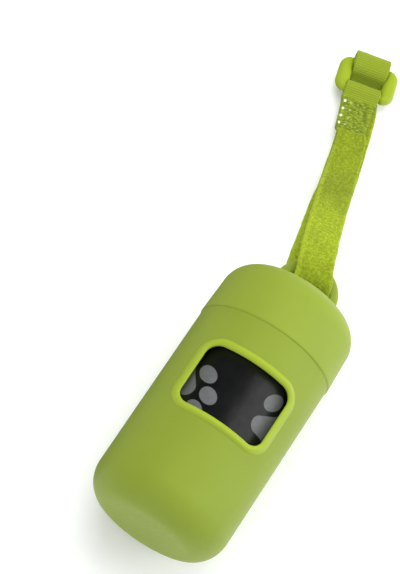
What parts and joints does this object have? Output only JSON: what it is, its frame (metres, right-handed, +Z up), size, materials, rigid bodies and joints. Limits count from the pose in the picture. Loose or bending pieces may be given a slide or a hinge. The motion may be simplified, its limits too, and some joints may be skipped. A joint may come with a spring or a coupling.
{
  "type": "dog waste bag dispenser",
  "caption": "Two-part capsule for a roll of pet waste bags, with a lipped window, a push-on cap with a moulded bail, and a hook-and-loop strap through a plastic ring.",
  "frame": {"origin": "centre of the part's box on the surface it lies on", "axes": "+Z up through the window, +Y along the capsule's axis from the base towards the cap and strap, +X to the right when the strap points away"},
  "size_m": [0.0502, 0.1697, 0.0425],
  "materials": {
    "shell": "soft-touch matte, lime green",
    "trim": "satin, slightly brighter lime green",
    "cardboard": "raw wound cardboard",
    "film": "thin black film with a soft gloss and grey paw prints",
    "webbing": "brushed hook-and-loop pile, lime green",
    "ring": "moulded, satin lime green",
    "hooks": "woven hook tape"
  },
  "bodies": {
    "housing": {"housing": "shell", "window_trim": "trim"},
    "cap": {"cap": "shell"},
    "roll": {"roll_core": "cardboard", "bag_roll": "film", "bag_end": "film"},
    "strap": {"strap_webbing": "webbing"},
    "ring": {"strap_ring": "ring"},
    "tail": {"strap_tail": "webbing", "hook_patch": "hooks"}
  },
  "joints": [
    {"name": "cap_pull", "type": "slide", "parent": "housing", "child": "cap", "axis": [0, 1, 0], "range_m": [0, 0.03]},
    {"name": "roll_spin", "type": "hinge", "parent": "housing", "child": "roll", "pos_m": [0.00406, -0.05, 0.02075], "axis": [0, 1, 0], "continuous": true},
    {"name": "strap_swing", "type": "hinge", "parent": "cap", "child": "strap", "pos_m": [0.00406, 0.00518, 0.021], "axis": [1, 0, 0], "range_deg": [-75, 75]},
    {"name": "ring_rock", "type": "hinge", "parent": "strap", "child": "ring", "pos_m": [-0.01445, 0.07042, 0.005], "axis": [0.9668, 0.2555, 0], "range_deg": [-6, 8]},
    {"name": "tail_peel", "type": "hinge", "parent": "strap", "child": "tail", "pos_m": [-0.01649, 0.07816, 0], "axis": [0.9668, 0.2555, 0], "range_deg": [0, 120]}
  ]
}
